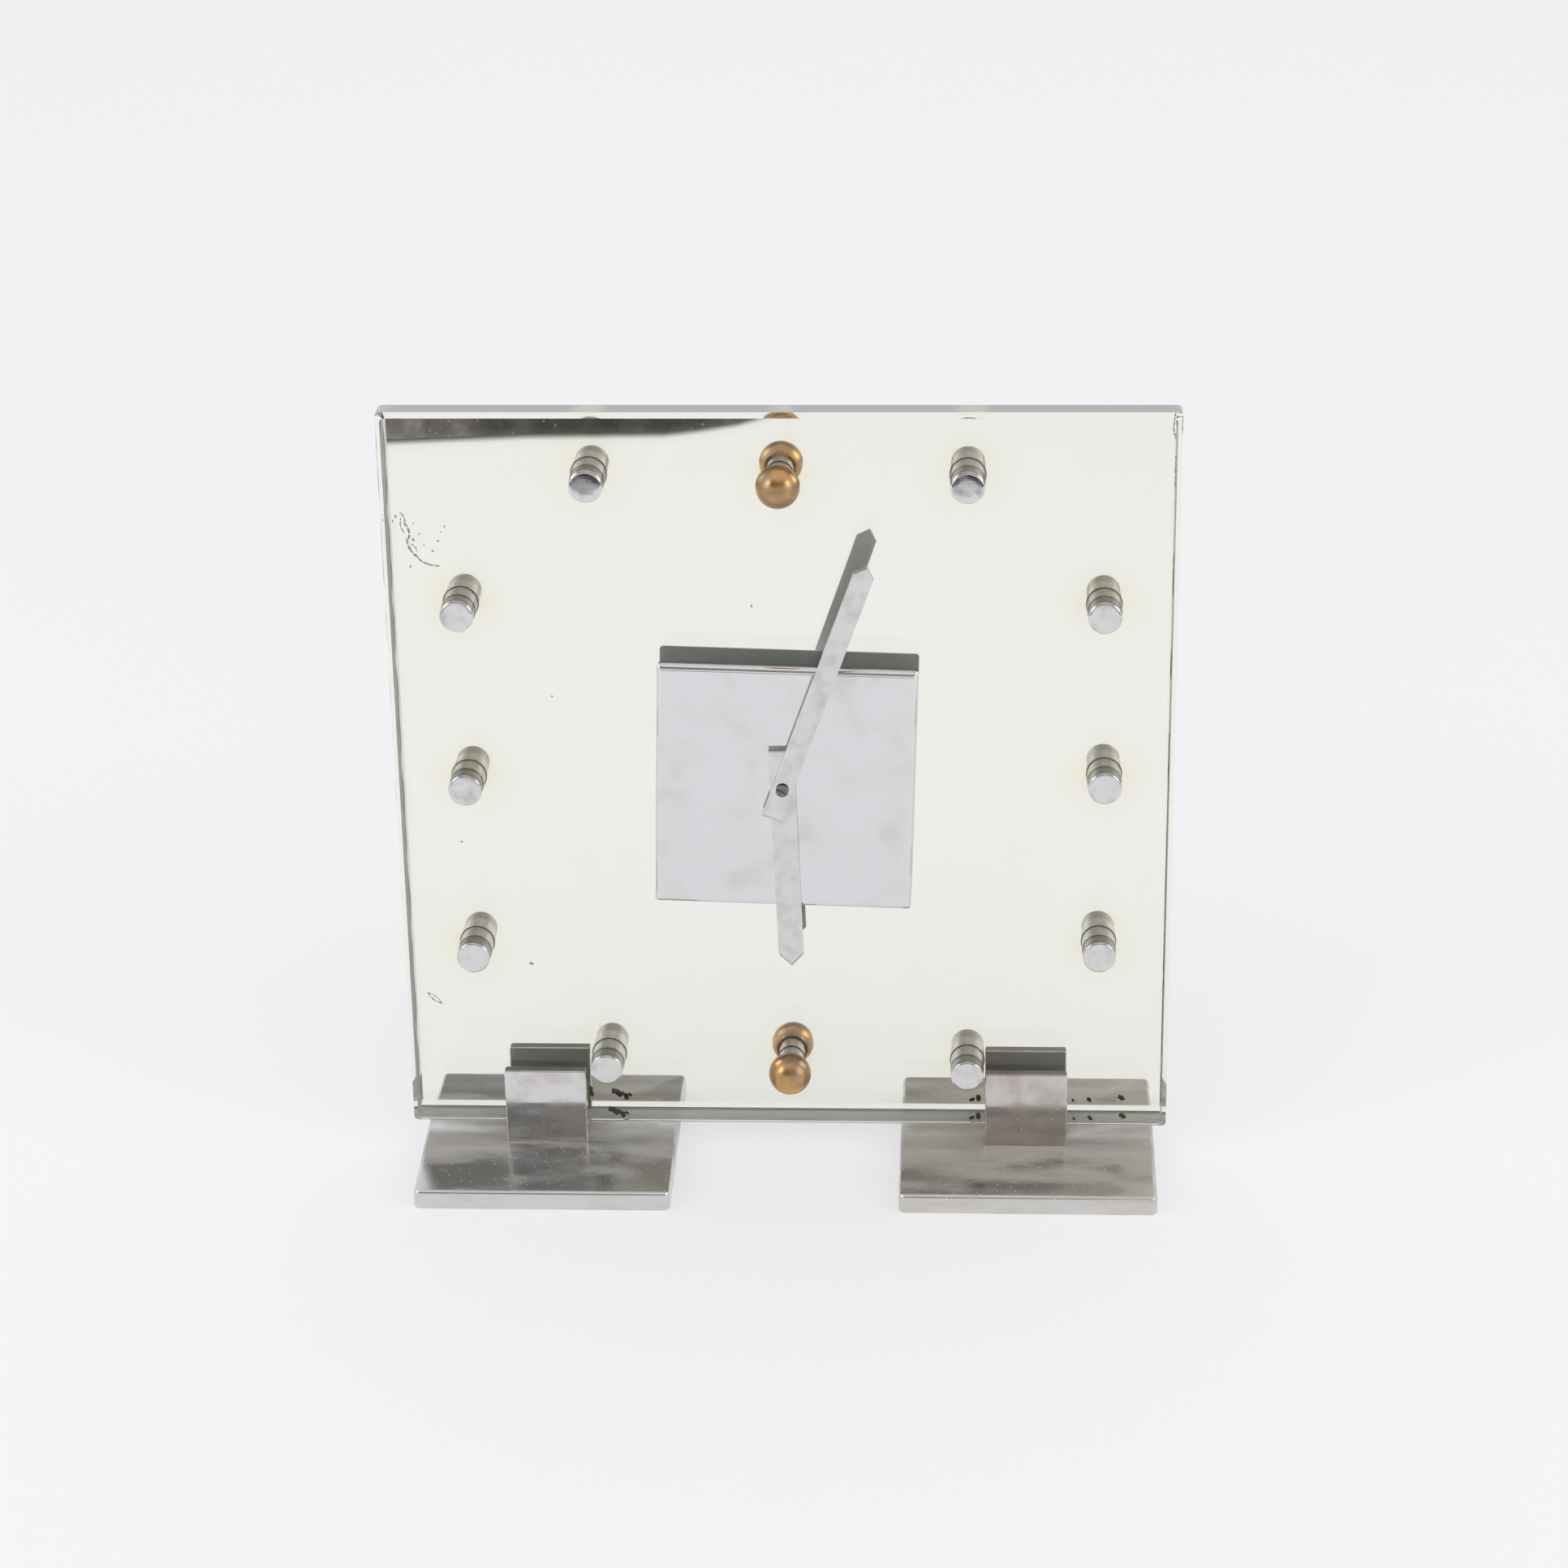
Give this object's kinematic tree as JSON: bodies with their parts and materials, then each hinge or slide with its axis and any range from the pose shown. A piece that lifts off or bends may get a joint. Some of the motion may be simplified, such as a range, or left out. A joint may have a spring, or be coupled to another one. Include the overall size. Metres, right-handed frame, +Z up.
{
  "type": "mirror clock",
  "caption": "Free-standing clock: thick square mirror glass in two slotted clips on foot plates, with pegs and balls as hour marks, bar hands and a wind-up movement.",
  "frame": {"origin": "on the table, at the middle of the two foot plates, below the middle of the glass", "axes": "+Z up, +X to the right of someone who reads the dial, +Y to the back"},
  "size_m": [0.306, 0.1016, 0.3168],
  "materials": {
    "clear_glass": "polished thick plate glass with bright arrised edges, faintly green",
    "silver": "silvered back, a little tarnished at the edges and round the drilled holes",
    "chrome": "polished chrome plate, faintly stained",
    "worn_chrome": "chrome plate dulled by haze and fine scratches",
    "copper": "polished copper plate, softly tarnished",
    "brass": "plain rolled and turned brass",
    "steel": "turned steel",
    "dull_steel": "dull darkened steel",
    "black_paint": "satin black stoved paint",
    "rubber": "plain soft pad"
  },
  "bodies": {
    "clock": {"mirror_glass": "clear_glass", "silver_backing": "silver", "hour_peg_1": "chrome", "hour_peg_2": "chrome", "hour_peg_3": "chrome", "hour_peg_4": "chrome", "hour_peg_5": "chrome", "hour_peg_7": "chrome", "hour_peg_8": "chrome", "hour_peg_9": "chrome", "hour_peg_10": "chrome", "hour_peg_11": "chrome", "middle_plate": "chrome", "foot_clip_left": "chrome", "foot_clip_right": "chrome", "foot_plate_left": "worn_chrome", "foot_plate_right": "worn_chrome", "hour_ball_6": "copper", "hour_ball_12": "copper", "movement_front_plate": "brass", "movement_back_plate": "brass", "escapement_platform": "brass", "pillar_1": "brass", "pillar_2": "brass", "pillar_3": "brass", "pillar_4": "brass", "plate_nut": "steel", "case_screw_1": "steel", "case_screw_2": "steel", "case_screw_3": "steel", "case_screw_4": "steel", "clip_screw_left": "steel", "clip_screw_right": "steel", "retaining_disc_1": "dull_steel", "retaining_disc_2": "dull_steel", "retaining_disc_3": "dull_steel", "retaining_disc_4": "dull_steel", "retaining_disc_5": "dull_steel", "retaining_disc_6": "dull_steel", "retaining_disc_7": "dull_steel", "retaining_disc_8": "dull_steel", "retaining_disc_9": "dull_steel", "retaining_disc_10": "dull_steel", "retaining_disc_11": "dull_steel", "retaining_disc_12": "dull_steel", "rear_case": "black_paint", "slot_pad_left": "rubber", "slot_pad_right": "rubber"},
    "minute_work": {"minute_hand": "chrome", "hand_screw": "dull_steel", "centre_arbor": "steel", "set_knob": "brass"},
    "hour_work": {"hour_hand": "chrome", "hour_wheel": "brass"},
    "motion_wheel": {"minute_wheel": "brass"},
    "barrel": {"spring_barrel": "brass", "mainspring": "steel"},
    "winding": {"barrel_arbor": "steel", "winding_key": "brass"}
  },
  "joints": [
    {"name": "minute_hand_turn", "type": "hinge", "parent": "clock", "child": "minute_work", "pos_m": [0.0002, 0.00116, 0.16543], "axis": [0, 0.9986, -0.0523], "continuous": true},
    {"name": "hour_hand_turn", "type": "hinge", "parent": "clock", "child": "hour_work", "pos_m": [0.0002, 0.00116, 0.16543], "axis": [0, 0.9986, -0.0523], "continuous": true},
    {"name": "minute_wheel_turn", "type": "hinge", "parent": "clock", "child": "motion_wheel", "pos_m": [0.0122, 0.00116, 0.16543], "axis": [0, 0.9986, -0.0523], "continuous": true},
    {"name": "barrel_turn", "type": "hinge", "parent": "clock", "child": "barrel", "pos_m": [0.0002, 0.00226, 0.1864], "axis": [0, 0.9986, -0.0523], "continuous": true},
    {"name": "winding_key_turn", "type": "hinge", "parent": "clock", "child": "winding", "pos_m": [0.0002, 0.00226, 0.1864], "axis": [0, -0.9986, 0.0523], "range_deg": [0, 1440]}
  ],
  "couplings": [
    {"joint": "hour_hand_turn", "follows": "minute_hand_turn", "ratio": 0.083333},
    {"joint": "minute_wheel_turn", "follows": "minute_hand_turn", "ratio": -0.33333},
    {"joint": "barrel_turn", "follows": "minute_hand_turn", "ratio": -0.16667}
  ]
}
